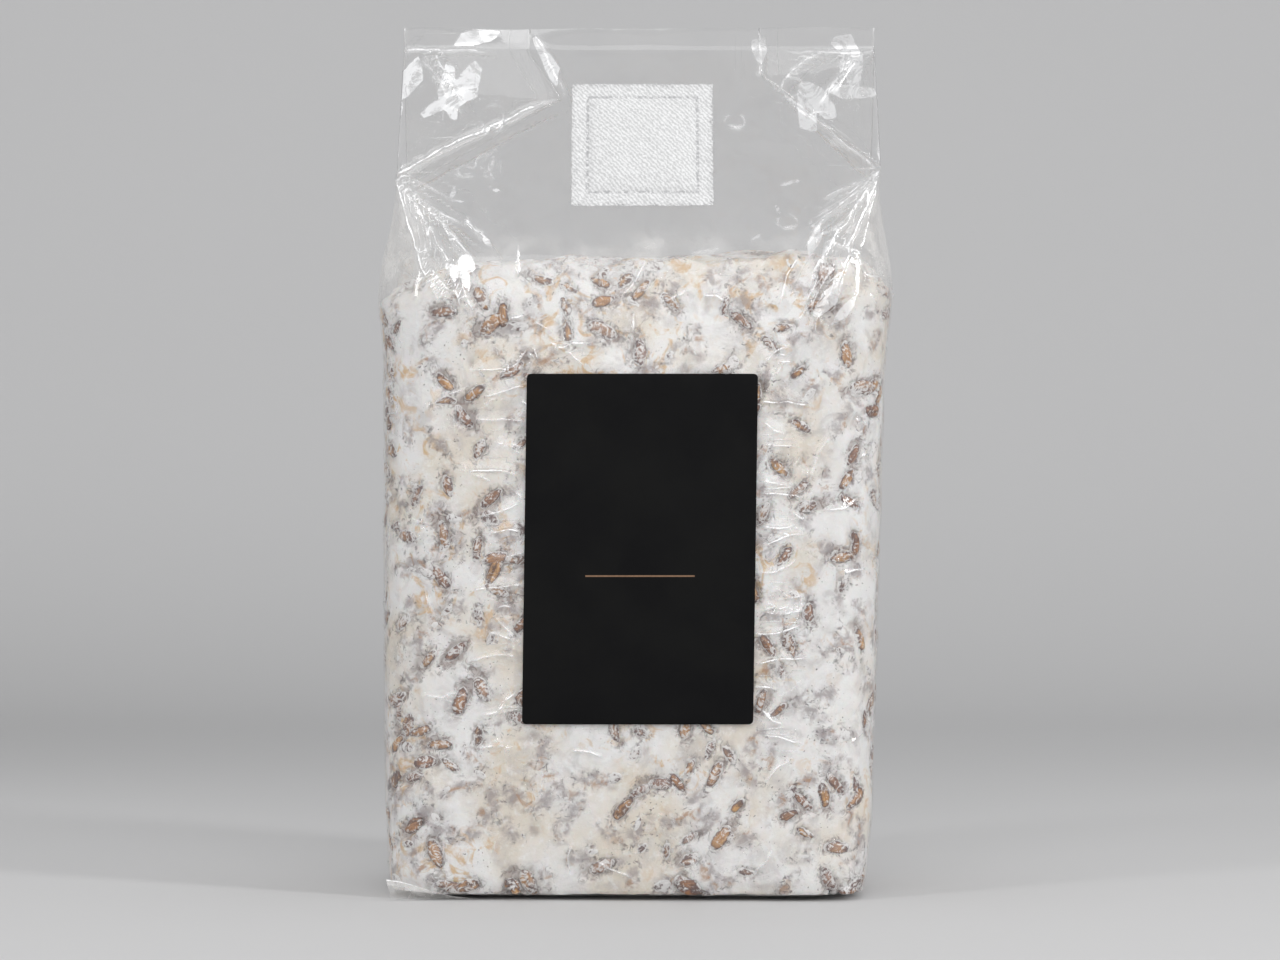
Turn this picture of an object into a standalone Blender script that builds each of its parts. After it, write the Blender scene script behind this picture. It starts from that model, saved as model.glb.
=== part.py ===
"""A gusseted film grow bag, sealed flat at the top, standing upright round a block of colonized grain.

Four pieces: the clear film bag, the filter patch over its breather window, the label on its front
and the grain block inside it. Metres, +Z up, the front faces -Y, the origin is the middle of the base.
"""

import math

import bmesh
import bpy
from mathutils import Matrix, Vector

# Driving dimensions, in metres.
FILM_THICKNESS = 0.0003
CLEARANCE = 0.0003
TALL = 0.3225
SEAL_HEIGHT = 0.3135
SEAL_HALF_WIDTH = 0.0885
SEAL_THICKNESS = 0.0012
SEAL_DEPTH = 0.0011
SEAL_FORWARD = 0.0080
LEAN_START = 0.2430
LEAN_START_DEPTH = 0.0430
FOLD_START = 0.2655
FOLD_APEX = 0.2915
FOLD_INSET = 0.0475
FOLD_NEAREST = 0.03
CROWN = 0.0030

# Height, half width, half depth and corner radius of the filled bag, from the base to the shoulder.
BODY_SECTIONS = (
    (0.0000, 0.0825, 0.0440, 0.0140),
    (0.0018, 0.0868, 0.0480, 0.0180),
    (0.0060, 0.0886, 0.0500, 0.0200),
    (0.0300, 0.0905, 0.0512, 0.0240),
    (0.0700, 0.0918, 0.0518, 0.0260),
    (0.1300, 0.0927, 0.0520, 0.0270),
    (0.1900, 0.0935, 0.0518, 0.0270),
    (0.2200, 0.0938, 0.0505, 0.0260),
    (0.2335, 0.0930, 0.0474, 0.0230),
    (LEAN_START, 0.0922, LEAN_START_DEPTH, 0.0190),
)
HEADSPACE_HEIGHTS = (0.2540, FOLD_START, 0.2785, FOLD_APEX, 0.3030, SEAL_HEIGHT)
CROWN_HEIGHTS = (0.0060, 0.0500, 0.2000, LEAN_START)

# How far the block stays inside the bag's outer surface, by height: its top edge is rounded.
BLOCK_SKIN = FILM_THICKNESS + 2 * CLEARANCE
BLOCK_ROWS = (
    (BLOCK_SKIN, 0.0010),
    (0.0060, BLOCK_SKIN),
    (0.0300, BLOCK_SKIN),
    (0.0700, BLOCK_SKIN),
    (0.1300, BLOCK_SKIN),
    (0.1900, BLOCK_SKIN),
    (0.2150, 0.0016),
    (0.2270, 0.0045),
    (0.2335, 0.0100),
    (0.2365, 0.0190),
    (0.2375, 0.0300),
)

PATCH_SIDE = 0.0520
PATCH_THICKNESS = 0.0009
PATCH_MIDDLE = 0.2765
WELD_LINE = 0.0203
WELD_HALF_WIDTH = 0.0009
WELD_DEPTH = 0.0004
MEMBRANE_CROWN = 0.0012
WINDOW_SIDE = 0.0360

LABEL_WIDTH = 0.0838
LABEL_HEIGHT = 0.1270
LABEL_MIDDLE = 0.1280
LABEL_THICKNESS = 0.0003
LABEL_CORNER = 0.0016

FRONT_STEPS, CORNER_STEPS, SIDE_STEPS = 4, 4, 3


def between(table, height):
    """The row of numbers at a height, read from a table of (height, numbers...) by straight lines."""
    for low, high in zip(table, table[1:]):
        if height <= high[0]:
            share = (height - low[0]) / (high[0] - low[0])
            return [a + (b - a) * share for a, b in zip(low[1:], high[1:])]
    return list(table[-1][1:])


def ramp(value, start, end):
    """0 at start and 1 at end, easing in and out."""
    share = min(max((value - start) / (end - start), 0.0), 1.0)
    return share * share * (3 - 2 * share)


def bag_size(height):
    """Half width, half depth, corner radius and front crown of the bag at a height."""
    if height <= LEAN_START:
        half_width, half_depth, radius = between(BODY_SECTIONS, height)
    else:
        share = (height - LEAN_START) / (SEAL_HEIGHT - LEAN_START)
        low_width, _, low_radius = BODY_SECTIONS[-1][1:]
        half_width = low_width + (SEAL_HALF_WIDTH - low_width) * share
        half_depth = LEAN_START_DEPTH + (SEAL_DEPTH - LEAN_START_DEPTH) * share
        radius = min(low_radius, 0.4 * half_depth)
    rising = ramp(height, CROWN_HEIGHTS[0], CROWN_HEIGHTS[1])
    falling = 1 - ramp(height, CROWN_HEIGHTS[2], CROWN_HEIGHTS[3])
    return half_width, half_depth, radius, CROWN * rising * falling


def middle_line(height):
    """The y of the section's middle: the flattened top stands a little in front of the base's middle."""
    return -SEAL_FORWARD * max(0.0, (height - LEAN_START) / (SEAL_HEIGHT - LEAN_START))


def front_depth(x, height):
    """How far the front face stands in front of the middle plane at x."""
    half_width, half_depth, radius, crown = bag_size(height)
    return half_depth - crown * (x / (half_width - radius)) ** 2


def fold_share(height):
    """How far the gusset's crease has come in: 0 where the fold starts, 1 above its apex."""
    share = (height - FOLD_START) / (FOLD_APEX - FOLD_START)
    return min(max(share, FOLD_NEAREST), 1 - FOLD_NEAREST)


def quarter(height, skin):
    """The section from the middle of the front to the middle of the right side, inset by skin.

    Over the fold's start the side is a gusset: a half panel from the corner in to the crease, then the
    sloping triangle between the front and back creases. Over the apex only the two half panels are left.
    """
    half_width, half_depth, radius, crown = bag_size(height)
    flat = half_width - radius
    radius_in = max(radius - skin, 0.2 * radius)
    shoulder = half_depth - crown - skin - radius_in
    points = []
    for i in range(FRONT_STEPS):
        x = flat * i / FRONT_STEPS
        points.append((x, -(front_depth(x, height) - skin)))
    side = half_width - skin
    for i in range(CORNER_STEPS):
        turn = math.pi / 2 * i / CORNER_STEPS
        across = side - radius_in + radius_in * math.sin(turn)
        points.append((across, -(shoulder + radius_in * math.cos(turn))))
    folded = fold_share(height)
    inset = FOLD_INSET * folded if height > FOLD_START else 0.0
    points.append((side, -shoulder))
    for i in range(SIDE_STEPS):
        nearness = (1 - folded) * (1 - i / (SIDE_STEPS - 1))
        points.append((side - inset, -shoulder * nearness))
    return points


def section(height, skin=0.0):
    """The whole closed section, counter-clockwise from the middle of the front."""
    middle = middle_line(height)
    front_right = quarter(height, skin)
    back_right = [(x, -y) for x, y in reversed(front_right[:-1])]
    right = front_right + back_right
    left = [(-x, y) for x, y in reversed(right[1:-1])]
    return [Vector((x, y + middle, height)) for x, y in right + left]


def material(name, colour, roughness, alpha=1.0):
    made = bpy.data.materials.new(name)
    made.use_nodes = True
    shader = made.node_tree.nodes["Principled BSDF"]
    shader.inputs["Base Color"].default_value = (*colour, 1.0)
    shader.inputs["Roughness"].default_value = roughness
    shader.inputs["Metallic"].default_value = 0.0
    shader.inputs["Alpha"].default_value = alpha
    return made


def add_object(name, mesh_data, collection, finish=None):
    made = bpy.data.objects.new(name, mesh_data)
    collection.objects.link(made)
    if finish is not None:
        made.data.materials.append(finish)
    return made


def mesh_from(name, shape):
    """A mesh from a bmesh, with its faces pointing out."""
    bmesh.ops.recalc_face_normals(shape, faces=shape.faces)
    made = bpy.data.meshes.new(name)
    shape.to_mesh(made)
    shape.free()
    return made


def loft(name, loops):
    """A closed surface through loops of equal length, capped at both ends."""
    shape = bmesh.new()
    rings = [[shape.verts.new(point) for point in loop] for loop in loops]
    count = len(rings[0])
    for low, high in zip(rings, rings[1:]):
        for i in range(count):
            j = (i + 1) % count
            shape.faces.new((low[i], low[j], high[j], high[i]))
    shape.faces.new(rings[0])
    shape.faces.new(rings[-1])
    return mesh_from(name, shape)


def box_mesh(name, size):
    shape = bmesh.new()
    bmesh.ops.create_cube(shape, size=1.0, matrix=Matrix.Diagonal((*size, 1.0)))
    return mesh_from(name, shape)


def add_boolean(target, cutter, operation):
    modifier = target.modifiers.new(cutter.name, "BOOLEAN")
    modifier.operation = operation
    modifier.object = cutter
    modifier.solver = "EXACT"


def hide_helper(helper):
    helper.hide_render = True
    helper.display_type = "WIRE"


def lean_frame(height, offset):
    """Where a flat thing lies on the leaning front panel: its own +Z points out of the panel."""
    depth_change = (LEAN_START_DEPTH - SEAL_DEPTH - SEAL_FORWARD) / (SEAL_HEIGHT - LEAN_START)
    outward = Vector((0.0, -1.0, depth_change)).normalized()
    upward = Vector((0.0, depth_change, 1.0)).normalized()
    rightward = upward.cross(outward)
    front = middle_line(height) - bag_size(height)[1]
    on_panel = Vector((0.0, front, height)) + outward * offset
    turned = Matrix((rightward, upward, outward)).transposed().to_4x4()
    return Matrix.Translation(on_panel) @ turned


def build_film(parts, helpers):
    """One closed shell: the bag less its inside, the seal fin joined on, the window cut out."""
    heights = [row[0] for row in BODY_SECTIONS] + list(HEADSPACE_HEIGHTS)
    finish = material("clear_film", (0.92, 0.93, 0.94), 0.12, 0.3)
    outside = loft("bag_film", [section(height) for height in heights])
    film = add_object("bag_film", outside, parts, finish)

    inner_heights = [FILM_THICKNESS] + heights[1:-1] + [SEAL_HEIGHT - FILM_THICKNESS]
    inside_shape = loft("inside", [section(height, FILM_THICKNESS) for height in inner_heights])
    inside = add_object("inside", inside_shape, helpers)
    hide_helper(inside)
    add_boolean(film, inside, "DIFFERENCE")

    fin_low = SEAL_HEIGHT - FILM_THICKNESS / 2
    fin_size = (2 * SEAL_HALF_WIDTH, SEAL_THICKNESS, TALL - fin_low)
    fin = add_object("seal_fin_shape", box_mesh("seal_fin_shape", fin_size), helpers)
    fin.location = (0.0, -SEAL_FORWARD, (TALL + fin_low) / 2)
    hide_helper(fin)
    add_boolean(film, fin, "UNION")

    window_size = (WINDOW_SIDE, WINDOW_SIDE, 10 * FILM_THICKNESS)
    window = add_object("window_cutter", box_mesh("window_cutter", window_size), helpers)
    window.matrix_world = lean_frame(PATCH_MIDDLE, 0.0)
    hide_helper(window)
    add_boolean(film, window, "DIFFERENCE")
    return film


def build_block(parts):
    finish = material("colonized_grain", (0.60, 0.56, 0.53), 0.85)
    rows = loft("grain_block", [section(height, skin) for height, skin in BLOCK_ROWS])
    block = add_object("grain_block", rows, parts, finish)
    block.data.shade_smooth()
    return block


def patch_height(x, y):
    """Thickness of the patch: flat border, pressed weld line, crowned membrane inside it."""
    out = max(abs(x), abs(y))
    if abs(out - WELD_LINE) < WELD_HALF_WIDTH / 2:
        return PATCH_THICKNESS - WELD_DEPTH
    if out > WELD_LINE:
        return PATCH_THICKNESS
    crown = (1 - (x / WELD_LINE) ** 4) * (1 - (y / WELD_LINE) ** 4)
    return PATCH_THICKNESS + MEMBRANE_CROWN * crown


def build_patch(parts):
    edge, inner = PATCH_SIDE / 2, WELD_LINE - WELD_HALF_WIDTH
    half = [0.0, 0.35 * inner, 0.65 * inner, 0.87 * inner, inner]
    half += [WELD_LINE, WELD_LINE + WELD_HALF_WIDTH, edge]
    stations = [-value for value in reversed(half[1:])] + half
    shape = bmesh.new()
    grid = [[shape.verts.new((x, y, patch_height(x, y))) for x in stations] for y in stations]
    for low, high in zip(grid, grid[1:]):
        for i in range(len(stations) - 1):
            shape.faces.new((low[i], low[i + 1], high[i + 1], high[i]))
    rim = [e for e in shape.edges if e.is_boundary]
    made = bmesh.ops.extrude_edge_only(shape, edges=rim)["geom"]
    for vertex in (v for v in made if isinstance(v, bmesh.types.BMVert)):
        vertex.co.z = 0.0
    bottom = [e for e in shape.edges if e.is_boundary]
    bmesh.ops.contextual_create(shape, geom=bottom)
    finish = material("filter_cloth", (0.80, 0.80, 0.80), 0.9)
    patch = add_object("filter_patch", mesh_from("filter_patch", shape), parts, finish)
    patch.matrix_world = lean_frame(PATCH_MIDDLE, CLEARANCE)
    return patch


def build_label(parts):
    """A sheet with rounded corners that follows the crown of the front, then given its thickness."""
    shape = bmesh.new()
    bmesh.ops.create_grid(shape, x_segments=8, y_segments=10, size=0.5)
    bmesh.ops.scale(shape, vec=(LABEL_WIDTH, LABEL_HEIGHT, 1.0), verts=shape.verts)
    corners = [v for v in shape.verts if len(v.link_faces) == 1]
    bmesh.ops.bevel(
        shape, geom=corners, offset=LABEL_CORNER, segments=3, affect="VERTICES", profile=0.5
    )
    for vertex in shape.verts:
        x, height = vertex.co.x, vertex.co.y + LABEL_MIDDLE
        vertex.co = (x, -(front_depth(x, height) + CLEARANCE), height)
    # The open sheet's faces point to the front before it is made thick.
    for face in shape.faces:
        face.normal_update()
        if face.normal.y > 0:
            face.normal_flip()
    sheet = bpy.data.meshes.new("label")
    shape.to_mesh(sheet)
    shape.free()
    label = add_object("label", sheet, parts, material("label_vinyl", (0.018, 0.018, 0.019), 0.55))
    body = label.modifiers.new("thickness", "SOLIDIFY")
    body.thickness = LABEL_THICKNESS
    body.offset = 1.0
    return label


def main():
    for old in list(bpy.data.objects):
        bpy.data.objects.remove(old)
    parts = bpy.data.collections.new("grow_bag")
    helpers = bpy.data.collections.new("cutters")
    for collection in (parts, helpers):
        bpy.context.scene.collection.children.link(collection)
    build_film(parts, helpers)
    build_block(parts)
    build_patch(parts)
    build_label(parts)


main()
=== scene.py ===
"""The looks of a clear film bag of colonized grain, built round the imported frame.

The mycelium block, its grain kernels, the film bag, the filter patch and the label are meshes in the
frame's own metres, with the front facing -Y. Heights and places are named values, in millimetres
times MM where that reads better.
"""

import math

import bpy
import numpy as np
from mathutils import Matrix, Vector
from mathutils.bvhtree import BVHTree
from mathutils.geometry import delaunay_2d_cdt
from mathutils.kdtree import KDTree


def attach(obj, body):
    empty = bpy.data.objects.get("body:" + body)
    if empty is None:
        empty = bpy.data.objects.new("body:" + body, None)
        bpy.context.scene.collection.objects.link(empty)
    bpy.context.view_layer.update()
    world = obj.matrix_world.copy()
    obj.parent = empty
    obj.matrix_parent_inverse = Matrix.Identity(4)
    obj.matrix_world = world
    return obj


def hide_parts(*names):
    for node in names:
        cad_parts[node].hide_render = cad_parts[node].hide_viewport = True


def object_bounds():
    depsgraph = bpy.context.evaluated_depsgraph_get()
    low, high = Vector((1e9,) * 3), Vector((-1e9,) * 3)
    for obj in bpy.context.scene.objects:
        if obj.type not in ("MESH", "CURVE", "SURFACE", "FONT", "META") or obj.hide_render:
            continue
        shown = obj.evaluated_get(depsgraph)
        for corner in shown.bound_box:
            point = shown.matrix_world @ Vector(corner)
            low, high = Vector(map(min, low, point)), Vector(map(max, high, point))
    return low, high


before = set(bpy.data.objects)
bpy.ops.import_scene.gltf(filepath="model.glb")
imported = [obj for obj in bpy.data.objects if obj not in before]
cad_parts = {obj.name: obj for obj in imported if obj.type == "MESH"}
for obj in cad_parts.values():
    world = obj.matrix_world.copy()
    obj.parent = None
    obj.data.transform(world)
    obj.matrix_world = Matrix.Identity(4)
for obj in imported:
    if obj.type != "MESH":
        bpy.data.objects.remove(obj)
cad_low, cad_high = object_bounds()

MM = 0.001
SEED = 11

# The bag, from the base up.
BAG_TOP = cad_high.z
SEAL_HEIGHT = BAG_TOP - 9 * MM
BODY_TOP = 233 * MM
CONTACT_SKIN = 0.6 * MM
HALF_WIDTH = cad_high.x
GUSSET_DEPTH = 46 * MM
FRONT_STEPS, GUSSET_STEPS = 150, 37
BACK_START = FRONT_STEPS + 2 * GUSSET_STEPS
COLUMNS = 2 * BACK_START

# The folded gussets: where each side's crease meets the edge, where its two diagonals meet inside,
# where the inner crease reaches the seal, how strong its crease is (its ridge and its painted
# highlight), and how bright the painted highlights on its crumpled film are.
LEFT_FOLD = {
    "edge": (-89 * MM, 265 * MM),
    "apex": (-27 * MM, 296 * MM),
    "top": -40 * MM,
    "shine": 1.3,
    "glare": 0.95,
}
RIGHT_FOLD = {
    "edge": (90 * MM, 267 * MM),
    "apex": (45 * MM, 305 * MM),
    "top": 44 * MM,
    "shine": 0.55,
    "glare": 0.55,
}
SEAL_HALF_WIDTH = 88.5 * MM

PATCH_SIDE = 52 * MM
PATCH_ASIDE = 1.8 * MM
PATCH_MIDDLE = 276.5 * MM
WELD_LINE = 20.3 * MM

LABEL_WIDTH = 83.8 * MM
LABEL_HEIGHT = 127 * MM
LABEL_MIDDLE = 128 * MM
LABEL_ASIDE = 3.0 * MM
LABEL_CORNER = 1.6 * MM
LABEL_THICKNESS = 0.25 * MM


# ---------------------------------------------------------------- numbers


def ramp(value, start, end):
    """0 at start and 1 at end, easing in and out. start may be the larger."""
    share = np.clip((value - start) / (end - start), 0.0, 1.0)
    return share * share * (3 - 2 * share)


def lerp(start, end, share):
    return start + (end - start) * share


def gradients(seed):
    rng = np.random.default_rng(seed)
    made = rng.normal(size=(4096, 3))
    return made / np.linalg.norm(made, axis=1, keepdims=True)


GRADIENTS = gradients(SEED)


def noise(points, size, seed=0):
    """Smooth noise, about -1 to 1, with bumps about size metres across."""
    scaled = np.asarray(points) / size + seed * 17.31
    cell = np.floor(scaled).astype(np.int64)
    part = scaled - cell
    fade = part**3 * (part * (part * 6 - 15) + 10)
    total = np.zeros(len(scaled))
    for corner in np.ndindex(2, 2, 2):
        at = cell + corner
        key = (at[:, 0] * 73856093) ^ (at[:, 1] * 19349663) ^ (at[:, 2] * 83492791)
        gradient = GRADIENTS[(key ^ (key >> 15)) % len(GRADIENTS)]
        weight = np.prod(np.where(corner, fade, 1 - fade), axis=1)
        total += weight * ((part - corner) * gradient).sum(axis=1)
    return 1.7 * total


def grid_noise(grid, size, seed):
    """That noise at each point of a grid of points, in the grid's own shape."""
    return noise(grid.reshape(-1, 3), size, seed).reshape(grid.shape[:-1])


def smooth_rows(grid, steps):
    """Smooths a (rows, columns, ...) array with its neighbours. Its columns close a ring."""
    for _ in range(steps):
        left, right = np.roll(grid, 1, axis=1), np.roll(grid, -1, axis=1)
        grid = 0.5 * grid + 0.25 * (left + right)
        below = np.concatenate([grid[:1], grid[:-1]])
        above = np.concatenate([grid[1:], grid[-1:]])
        grid = 0.5 * grid + 0.25 * (below + above)
    return grid


def line_distance(x, z, start, end):
    """Distance of each (x, z) from a straight line, and how far along it the nearest point is."""
    along = np.array(end) - np.array(start)
    share = ((x - start[0]) * along[0] + (z - start[1]) * along[1]) / (along @ along)
    near = np.clip(share, 0.0, 1.0)
    return np.hypot(x - start[0] - near * along[0], z - start[1] - near * along[1]), share


# ---------------------------------------------------------------- meshes


def mesh_object(name, points, faces, finish):
    data = bpy.data.meshes.new(name)
    data.from_pydata(points.tolist(), [], faces)
    data.validate()
    data.shade_smooth()
    data.materials.append(finish)
    made = bpy.data.objects.new(name, data)
    bpy.context.scene.collection.objects.link(made)
    return made


def grid_faces(rows, columns, wrap, first=0):
    """The quads of a grid of points stored row by row."""
    across = columns if wrap else columns - 1
    faces = []
    for row in range(rows - 1):
        for column in range(across):
            beside = (column + 1) % columns
            low, high = first + row * columns, first + (row + 1) * columns
            faces.append((low + column, low + beside, high + beside, high + column))
    return faces


def set_attribute(obj, name, values):
    made = obj.data.attributes.new(name, "FLOAT", "POINT")
    made.data.foreach_set("value", np.asarray(values, np.float32).ravel())


def grid_normals(grid):
    """Outward unit normals of a (rows, columns, 3) grid whose columns close a ring counter-clockwise."""
    across = np.roll(grid, -1, axis=1) - np.roll(grid, 1, axis=1)
    up = np.gradient(grid, axis=0)
    normal = np.cross(across, up)
    return normal / np.maximum(np.linalg.norm(normal, axis=2, keepdims=True), 1e-12)


# ---------------------------------------------------------------- outlines


def solid_tree(node):
    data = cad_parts[node].data
    points = [v.co.copy() for v in data.vertices]
    return BVHTree.FromPolygons(points, [tuple(p.vertices) for p in data.polygons])


def spaced(points, count):
    """count points evenly along an open line of points, without its end."""
    points = np.array(points)
    length = np.concatenate([[0], np.cumsum(np.linalg.norm(np.diff(points, axis=0), axis=1))])
    at = np.linspace(0, length[-1], count, endpoint=False)
    return np.stack([np.interp(at, length, points[:, i]) for i in range(2)], axis=1)


def reference_outline():
    """A rounded rectangle, counter-clockwise from its front-left corner: front, right, back, left."""
    half_width, half_depth, radius = HALF_WIDTH, cad_high.y, 26 * MM

    def arc(middle_x, middle_y, start):
        turns = np.radians(np.linspace(start, start + 45, 9))
        return [(middle_x + radius * math.cos(t), middle_y + radius * math.sin(t)) for t in turns]

    right, back = half_width - radius, half_depth - radius
    front_side = arc(-right, -back, 225) + arc(right, -back, 270)
    right_side = arc(right, -back, 315) + arc(right, back, 0)
    sides = [(front_side, FRONT_STEPS), (right_side, 2 * GUSSET_STEPS)]
    turned = [([(-x, -y) for x, y in line], count) for line, count in sides]
    return np.concatenate([spaced(line, count) for line, count in sides + turned])


def body_outlines(heights, skin):
    """The filled bag's outline at each height, as (rows, columns, 3), skin inside the solid's surface."""
    tree = solid_tree("bag_film")
    outward = reference_outline()
    far = 2 * HALF_WIDTH
    unit = outward / np.linalg.norm(outward, axis=1, keepdims=True)
    reach = np.empty((len(heights), COLUMNS))
    for row, height in enumerate(heights):
        for column, (x, y) in enumerate(unit):
            start = Vector((x * far, y * far, height))
            hit = tree.ray_cast(start, Vector((-x, -y, 0.0)))[0]
            reach[row, column] = math.hypot(hit.x, hit.y)
    reach = smooth_rows(reach, 3) - skin
    return np.stack(
        [unit[:, 0] * reach, unit[:, 1] * reach, np.repeat(heights[:, None], COLUMNS, axis=1)], axis=2
    )


# How the standing bag sways: its foot lies a little left of its top, and the
# right half of the foot comes a little forward.
SWAY = 4.5 * MM
FOOT_TURN = 0.035


def settle(points):
    """Bends points of the straight bag into the way the heavy bag really stands."""
    made = np.array(points, float)
    height = made[..., 2] / BAG_TOP
    made[..., 0] += SWAY * (height - 0.62)
    made[..., 1] -= FOOT_TURN * points[..., 0] * (1 - ramp(height, 0.0, 0.3))
    waist = np.exp(-(((made[..., 2] - 222 * MM) / (17 * MM)) ** 2))
    made[..., 0] += 2.2 * MM * waist * np.sign(points[..., 0]) * ramp(abs(points[..., 0]), 0.05, 0.09)
    return made


# ---------------------------------------------------------------- grain block

KERNEL_SPACING = 6.6 * MM
KERNEL_LENGTH, KERNEL_WIDTH, KERNEL_DEPTH = 12.6 * MM, 6.3 * MM, 4.8 * MM
EXPOSED, VEILED = 0.28, 0.58
SIDE_HEIGHTS = np.linspace(2.2 * MM, BODY_TOP, 144)
BASE_ROWS, TOP_ROWS = 12, 22
VALLEY = 2.0 * MM


def block_grid():
    """The block's outer surface where the film presses on it, as rows from the base's middle to the top's."""
    side = body_outlines(SIDE_HEIGHTS, CONTACT_SKIN)
    rows = []
    for share in np.linspace(0.02, 1.0, BASE_ROWS, endpoint=False):
        row = side[0] * share
        row[:, 2] = SIDE_HEIGHTS[0] - 1.6 * MM * (1 - share**6)
        rows.append(row)
    rows += list(side)
    for share in np.linspace(1.0, 0.02, TOP_ROWS + 1)[1:]:
        row = side[-1] * share
        row[:, 2] = BODY_TOP + 4.0 * MM * (1 - share**3.5)
        rows.append(row)
    grid = np.array(rows)
    top_share = ramp(grid[..., 2], 205 * MM, 236 * MM)
    rolling = grid_noise(grid * (1, 1, 0), 55 * MM, 3)
    tucked = ramp(grid[..., 2], 216 * MM, 236 * MM) ** 1.5
    lumpy = 1 + 0.5 * grid_noise(grid, 24 * MM, 14)
    sides = ramp(np.abs(grid[..., 0]), 0.06, 0.09)
    grid[..., 0] -= np.sign(grid[..., 0]) * 5.0 * MM * tucked * lumpy * sides
    faces = ramp(np.abs(grid[..., 1]), 0.02, 0.045)
    grid[..., 1] -= np.sign(grid[..., 1]) * 2.6 * MM * tucked * lumpy * faces
    grid[..., 2] -= 6.0 * MM * tucked * ramp(np.abs(grid[..., 0]), 0.066, 0.092)
    grid[..., 2] += top_share * (3.0 * MM * rolling + 0.035 * grid[..., 0])
    knobbly = grid_noise(grid * (1, 1, 0.5), 13 * MM, 4)
    grid[..., 2] += ramp(grid[..., 2], 224 * MM, 234 * MM) * 2.2 * MM * knobbly
    return settle(grid)


def scatter(points, spacing, seed):
    """Indices of points no nearer to each other than spacing, taken in a seeded random order."""
    rng = np.random.default_rng(seed)
    cells, kept = {}, []
    for index in rng.permutation(len(points)):
        point = points[index]
        cell = tuple((point // spacing).astype(int))
        near = [
            other
            for dx in (-1, 0, 1)
            for dy in (-1, 0, 1)
            for dz in (-1, 0, 1)
            for other in cells.get((cell[0] + dx, cell[1] + dy, cell[2] + dz), ())
        ]
        if all(np.sum((point - points[other]) ** 2) > spacing**2 for other in near):
            cells.setdefault(cell, []).append(index)
            kept.append(index)
    return kept


def kernel_seeds(points, normals):
    """One grain for each scattered place: its middle, its axes, its size and how far it shows."""
    rng = np.random.default_rng(SEED + 1)
    seeds = []
    for index in scatter(points, KERNEL_SPACING, SEED + 2):
        normal = normals[index]
        turn, lean = rng.uniform(0, 2 * math.pi), rng.normal(0, 0.22)
        side = np.cross(normal, (0.3, 0.2, 1.0))
        side /= np.linalg.norm(side)
        up = np.cross(side, normal)
        long = math.cos(turn) * side + math.sin(turn) * up
        long = math.cos(lean) * long + math.sin(lean) * normal
        wide = np.cross(normal, long)
        wide /= np.linalg.norm(wide)
        pick = rng.uniform()
        if points[index][2] > 227 * MM:
            pick = max(pick, EXPOSED)
        seeds.append(
            {
                "middle": points[index],
                "normal": np.cross(long, wide),
                "long": long,
                "wide": wide,
                "size": rng.uniform(0.84, 1.14) * np.array([1.0, rng.uniform(0.85, 1.08), 1.0]),
                "kind": "bare" if pick < EXPOSED else "veiled" if pick < VEILED else "buried",
                "sink": rng.uniform(0.05, 0.6) * MM if pick < EXPOSED else rng.uniform(0.5, 1.3) * MM,
                "open": rng.uniform(0.5, 1.05),
                "veil": rng.uniform(0.0, 0.6) if pick < EXPOSED else rng.uniform(0.7, 1.0),
                "tone": rng.uniform(),
                "roll": rng.uniform(0, 2 * math.pi),
            }
        )
    return seeds


def grown_surface(grid, seeds):
    """Lowers the block's surface between its grains.

    Returns it with how far, and shares for the finish, among them where shade is painted round the grains.
    """
    shape = grid.shape[:2]
    points = grid.reshape(-1, 3)
    normals = grid_normals(grid).reshape(-1, 3)
    tree = point_tree(points)
    ragged = 0.30 * noise(points, 4.5 * MM, 10) + 0.16 * noise(points, 2.4 * MM, 11)
    lumps, hollow, veil, painted_hollow_shade, rim = (np.zeros(len(points)) for _ in range(5))
    for seed in seeds:
        near = np.array([index for _, index, _ in tree.find_range(seed["middle"], 10 * MM)])
        if not len(near):
            continue
        away = points[near] - seed["middle"]
        half = np.array([KERNEL_LENGTH, KERNEL_WIDTH]) / 2 * seed["size"][:2]
        reach = np.hypot(away @ seed["long"] / half[0], away @ seed["wide"] / half[1])
        lumps[near] = np.maximum(lumps[near], seed["tone"] * np.clip(1.1 - 0.5 * reach**2, 0, 1))
        edge = reach + ragged[near]
        if seed["kind"] == "bare":
            hollow[near] = np.maximum(hollow[near], ramp(edge, seed["open"] + 0.22, seed["open"] - 0.1))
            # painted shade: dark mycelium in the hollow round each bare grain
            painted_hollow_shade[near] = np.maximum(painted_hollow_shade[near], ramp(edge, seed["open"] + 0.65, seed["open"]))
        if seed["kind"] == "veiled":
            veil[near] = np.maximum(veil[near], ramp(edge, 1.25, 0.55))
            # painted shade: a dark outline in the gap round each veiled grain
            rim[near] = np.maximum(rim[near], ramp(np.abs(edge - 0.9), 0.28, 0.05))
    drop = 0.34 * MM * (1 + noise(points, 15 * MM, 5)) + 0.22 * MM * (1 + noise(points, 6 * MM, 6))
    drop += 1.0 * MM * ramp(noise(points, 8 * MM, 7) - 0.7 * lumps, 0.18, 0.62)
    drop += 0.10 * MM * (1 + noise(points, 2.6 * MM, 8)) - 0.45 * MM * lumps
    drop = np.maximum(drop, hollow * (1.9 * MM + 0.35 * MM * noise(points, 3 * MM, 9)))
    drop = np.maximum(drop, 0)
    moved = points - normals * drop[:, None]
    return moved.reshape(*shape, 3), drop.reshape(shape), {"veil": veil, "painted_hollow_shade": painted_hollow_shade, "rim": rim}


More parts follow.
